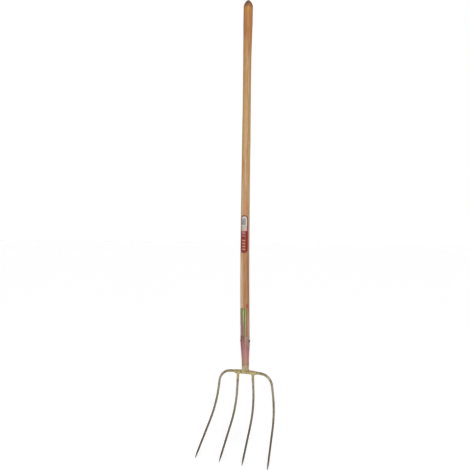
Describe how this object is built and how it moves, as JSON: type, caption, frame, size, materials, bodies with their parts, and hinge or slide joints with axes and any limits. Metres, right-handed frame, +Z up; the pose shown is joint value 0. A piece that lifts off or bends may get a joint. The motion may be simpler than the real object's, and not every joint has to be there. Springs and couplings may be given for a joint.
{
  "type": "manure fork",
  "caption": "Long-handled manure fork: dished round tines on an arched bow, welded below a riveted, strapped steel socket on a turned ash shaft with a knobbed end.",
  "frame": {"origin": "on the floor under the middle of the fork's outline, with the tine tips at z = 0; the shaft's axis stands 48.4 mm behind it", "axes": "+Z up along the shaft, -Y forward, the way the tines dish, and +X to the right of someone who looks at the fork's front"},
  "size_m": [0.2966, 0.1326, 1.7031],
  "materials": {
    "ash_wood": "turned and oiled, with brown grain streaks and a darker knob end",
    "socket_steel": "yellow-passivated zinc plate with a rose tint",
    "strap_steel": "yellow-passivated zinc plate with a green and purple tint",
    "tine_steel": "yellow-passivated zinc plate, gold at the bow and browner at the tips",
    "weld_steel": "rippled weld metal under yellow-passivated zinc",
    "rivet_steel": "plain rivet steel, dulled",
    "label_film": "printed gloss film, slightly scuffed",
    "sticker_paper": "matt white paper with plain grey bars"
  },
  "bodies": {
    "root": {"handle": "ash_wood", "socket": "socket_steel", "neck": "socket_steel", "front_strap": "strap_steel", "back_strap": "strap_steel", "front_strap_weld": "weld_steel", "back_strap_weld": "weld_steel", "ring_weld": "weld_steel", "bow_welds": "weld_steel", "outer_tine_bow": "tine_steel", "inner_tine_left": "tine_steel", "inner_tine_right": "tine_steel", "inner_weld_left": "weld_steel", "inner_weld_right": "weld_steel", "side_rivet": "rivet_steel", "strap_rivets": "rivet_steel", "label": "label_film", "sticker": "sticker_paper"}
  },
  "joints": []
}
